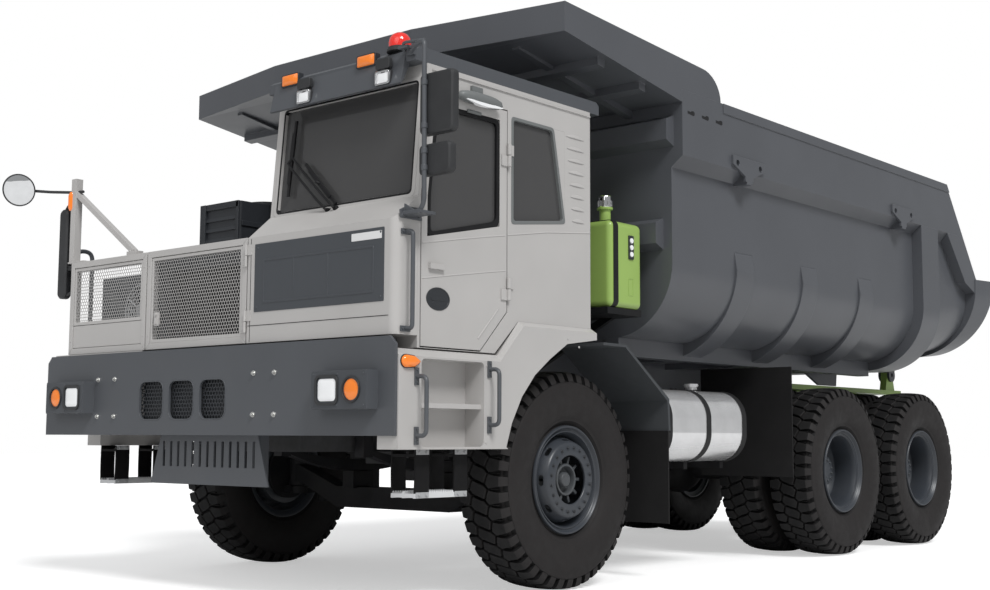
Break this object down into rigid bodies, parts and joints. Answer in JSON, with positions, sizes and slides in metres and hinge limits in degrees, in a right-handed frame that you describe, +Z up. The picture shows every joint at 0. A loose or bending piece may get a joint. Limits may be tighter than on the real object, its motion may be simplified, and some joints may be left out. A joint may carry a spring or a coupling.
{
  "type": "mining dump truck",
  "caption": "Wide three-axle open-pit dump truck with an offset box cab, steered front axle, dual rear wheels and a round-bottomed tipping body with a canopy over the cab.",
  "frame": {"origin": "centre of the truck's footprint box, on the ground", "axes": "+X forward, +Y to the truck's left, +Z up; millimetres in the source, metres here"},
  "size_m": [9.04, 4.3598, 3.939],
  "materials": {
    "frame_grey": "satin paint, dusty",
    "spring_steel": "matt black paint",
    "axle_iron": "painted casting",
    "engine_iron": "painted casting",
    "radiator_black": "matt black",
    "slate_paint": "satin slate paint",
    "light_grey_paint": "semi-gloss warm light grey paint",
    "green_paint": "semi-gloss lime green paint",
    "polished_rod": "polished hard chrome",
    "polished_tank": "polished, scuffed",
    "tyre_rubber": "matt rubber",
    "rim_grey": "satin paint, dusty",
    "flap_rubber": "matt rubber",
    "step_steel": "painted tube",
    "dark_plastic": "textured",
    "dash_plastic": "textured",
    "seat_fabric": "woven",
    "cab_glass": "clear, slightly tinted"
  },
  "bodies": {
    "chassis": {"chassis_frame": "frame_grey", "leaf_springs": "spring_steel", "front_axle_beam": "axle_iron", "rear_axle_housings": "axle_iron", "propshafts": "axle_iron", "engine_block": "engine_iron", "engine_hood": "light_grey_paint", "radiator": "radiator_black", "front_bumper": "slate_paint", "under_guard": "slate_paint", "rear_subframe": "green_paint", "cab_shell": "light_grey_paint", "cab_nose": "light_grey_paint", "cab_windows": "cab_glass", "roof_visor": "slate_paint", "seat": "seat_fabric", "dashboard": "dash_plastic", "outer_deck_panel": "light_grey_paint", "right_deck": "light_grey_paint", "fenders": "light_grey_paint", "mud_flaps": "flap_rubber", "hanging_steps": "step_steel", "hydraulic_tank": "green_paint", "hydraulic_tank_stand": "frame_grey", "fuel_tank": "polished_tank", "fuel_tank_cradle": "frame_grey", "battery_box": "frame_grey", "air_cleaner": "light_grey_paint", "right_mirror_post": "light_grey_paint", "left_mirrors": "dark_plastic", "handrails": "step_steel"},
    "cab_door": {"cab_door": "light_grey_paint", "door_glass": "cab_glass"},
    "radiator_door": {"radiator_door": "light_grey_paint"},
    "left_knuckle": {"left_knuckle": "axle_iron"},
    "right_knuckle": {"right_knuckle": "axle_iron"},
    "tie_rod": {"tie_rod": "axle_iron"},
    "dump_body": {"dump_body": "slate_paint", "body_hoops": "slate_paint", "body_tail_frame": "slate_paint", "canopy": "slate_paint", "body_pivot_lugs": "slate_paint"},
    "hoist_barrel": {"hoist_barrel": "slate_paint"},
    "hoist_stage_1": {"hoist_stage_1": "polished_rod"},
    "hoist_stage_2": {"hoist_stage_2": "polished_rod"},
    "hoist_stage_3": {"hoist_stage_3": "polished_rod"},
    "hoist_stage_4": {"hoist_stage_4": "polished_rod"},
    "front_left_wheel": {"front_left_tyre": "tyre_rubber", "front_left_rim": "rim_grey"},
    "rear_left_wheels_1": {"rear_left_1_tyres": "tyre_rubber", "rear_left_1_rims": "rim_grey"},
    "rear_left_wheels_2": {"rear_left_2_tyres": "tyre_rubber", "rear_left_2_rims": "rim_grey"},
    "front_right_wheel": {"front_right_tyre": "tyre_rubber", "front_right_rim": "rim_grey"},
    "rear_right_wheels_1": {"rear_right_1_tyres": "tyre_rubber", "rear_right_1_rims": "rim_grey"},
    "rear_right_wheels_2": {"rear_right_2_tyres": "tyre_rubber", "rear_right_2_rims": "rim_grey"}
  },
  "joints": [
    {"name": "bed_tilt", "type": "hinge", "parent": "chassis", "child": "dump_body", "pos_m": [-4.08, 0, 1.72], "axis": [0, -1, 0], "range_deg": [0, 42]},
    {"name": "hoist_swing", "type": "hinge", "parent": "chassis", "child": "hoist_barrel", "pos_m": [1.88, 0, 0.98], "axis": [0, -1, 0], "range_deg": [0, 21]},
    {"name": "hoist_slide_1", "type": "slide", "parent": "hoist_barrel", "child": "hoist_stage_1", "axis": [-0.0282, 0, 0.9996], "range_m": [0, 1.036]},
    {"name": "hoist_slide_2", "type": "slide", "parent": "hoist_stage_1", "child": "hoist_stage_2", "axis": [-0.0282, 0, 0.9996], "range_m": [0, 1.036]},
    {"name": "hoist_slide_3", "type": "slide", "parent": "hoist_stage_2", "child": "hoist_stage_3", "axis": [-0.0282, 0, 0.9996], "range_m": [0, 1.036]},
    {"name": "hoist_slide_4", "type": "slide", "parent": "hoist_stage_3", "child": "hoist_stage_4", "axis": [-0.0282, 0, 0.9996], "range_m": [0, 1.036]},
    {"name": "steer_left", "type": "hinge", "parent": "chassis", "child": "left_knuckle", "pos_m": [2.37, 1.13, 0.7465], "axis": [0, 0, 1], "range_deg": [-32, 32]},
    {"name": "steer_right", "type": "hinge", "parent": "chassis", "child": "right_knuckle", "pos_m": [2.37, -1.13, 0.7465], "axis": [0, 0, 1], "range_deg": [-32, 32]},
    {"name": "tie_rod_pivot", "type": "hinge", "parent": "left_knuckle", "child": "tie_rod", "pos_m": [2.11, 1.13, 0.54], "axis": [0, 0, 1], "range_deg": [-32, 32]},
    {"name": "front_left_wheel_spin", "type": "hinge", "parent": "left_knuckle", "child": "front_left_wheel", "pos_m": [2.37, 1.468, 0.7465], "axis": [0, 1, 0], "continuous": true},
    {"name": "rear_left_spin_1", "type": "hinge", "parent": "chassis", "child": "rear_left_wheels_1", "pos_m": [-1.54, 1.3355, 0.7465], "axis": [0, 1, 0], "continuous": true},
    {"name": "rear_left_spin_2", "type": "hinge", "parent": "chassis", "child": "rear_left_wheels_2", "pos_m": [-3.255, 1.3355, 0.7465], "axis": [0, 1, 0], "continuous": true},
    {"name": "front_right_wheel_spin", "type": "hinge", "parent": "right_knuckle", "child": "front_right_wheel", "pos_m": [2.37, -1.468, 0.7465], "axis": [0, 1, 0], "continuous": true},
    {"name": "rear_right_spin_1", "type": "hinge", "parent": "chassis", "child": "rear_right_wheels_1", "pos_m": [-1.54, -1.3355, 0.7465], "axis": [0, 1, 0], "continuous": true},
    {"name": "rear_right_spin_2", "type": "hinge", "parent": "chassis", "child": "rear_right_wheels_2", "pos_m": [-3.255, -1.3355, 0.7465], "axis": [0, 1, 0], "continuous": true},
    {"name": "cab_door_hinge", "type": "hinge", "parent": "chassis", "child": "cab_door", "pos_m": [3.214, 1.816, 2.3], "axis": [0, 0, 1], "range_deg": [0, 70]},
    {"name": "radiator_door_hinge", "type": "hinge", "parent": "chassis", "child": "radiator_door", "pos_m": [4.232, 0.434, 2], "axis": [0, 0, 1], "range_deg": [0, 100]}
  ],
  "couplings": [
    {"joint": "hoist_swing", "follows": "bed_tilt", "ratio": 0.49625},
    {"joint": "hoist_slide_1", "follows": "bed_tilt", "m_per_rad": 1.4111},
    {"joint": "hoist_slide_2", "follows": "bed_tilt", "m_per_rad": 1.4111},
    {"joint": "hoist_slide_3", "follows": "bed_tilt", "m_per_rad": 1.4111},
    {"joint": "hoist_slide_4", "follows": "bed_tilt", "m_per_rad": 1.4111},
    {"joint": "steer_right", "follows": "steer_left", "ratio": 1},
    {"joint": "tie_rod_pivot", "follows": "steer_left", "ratio": -1}
  ]
}
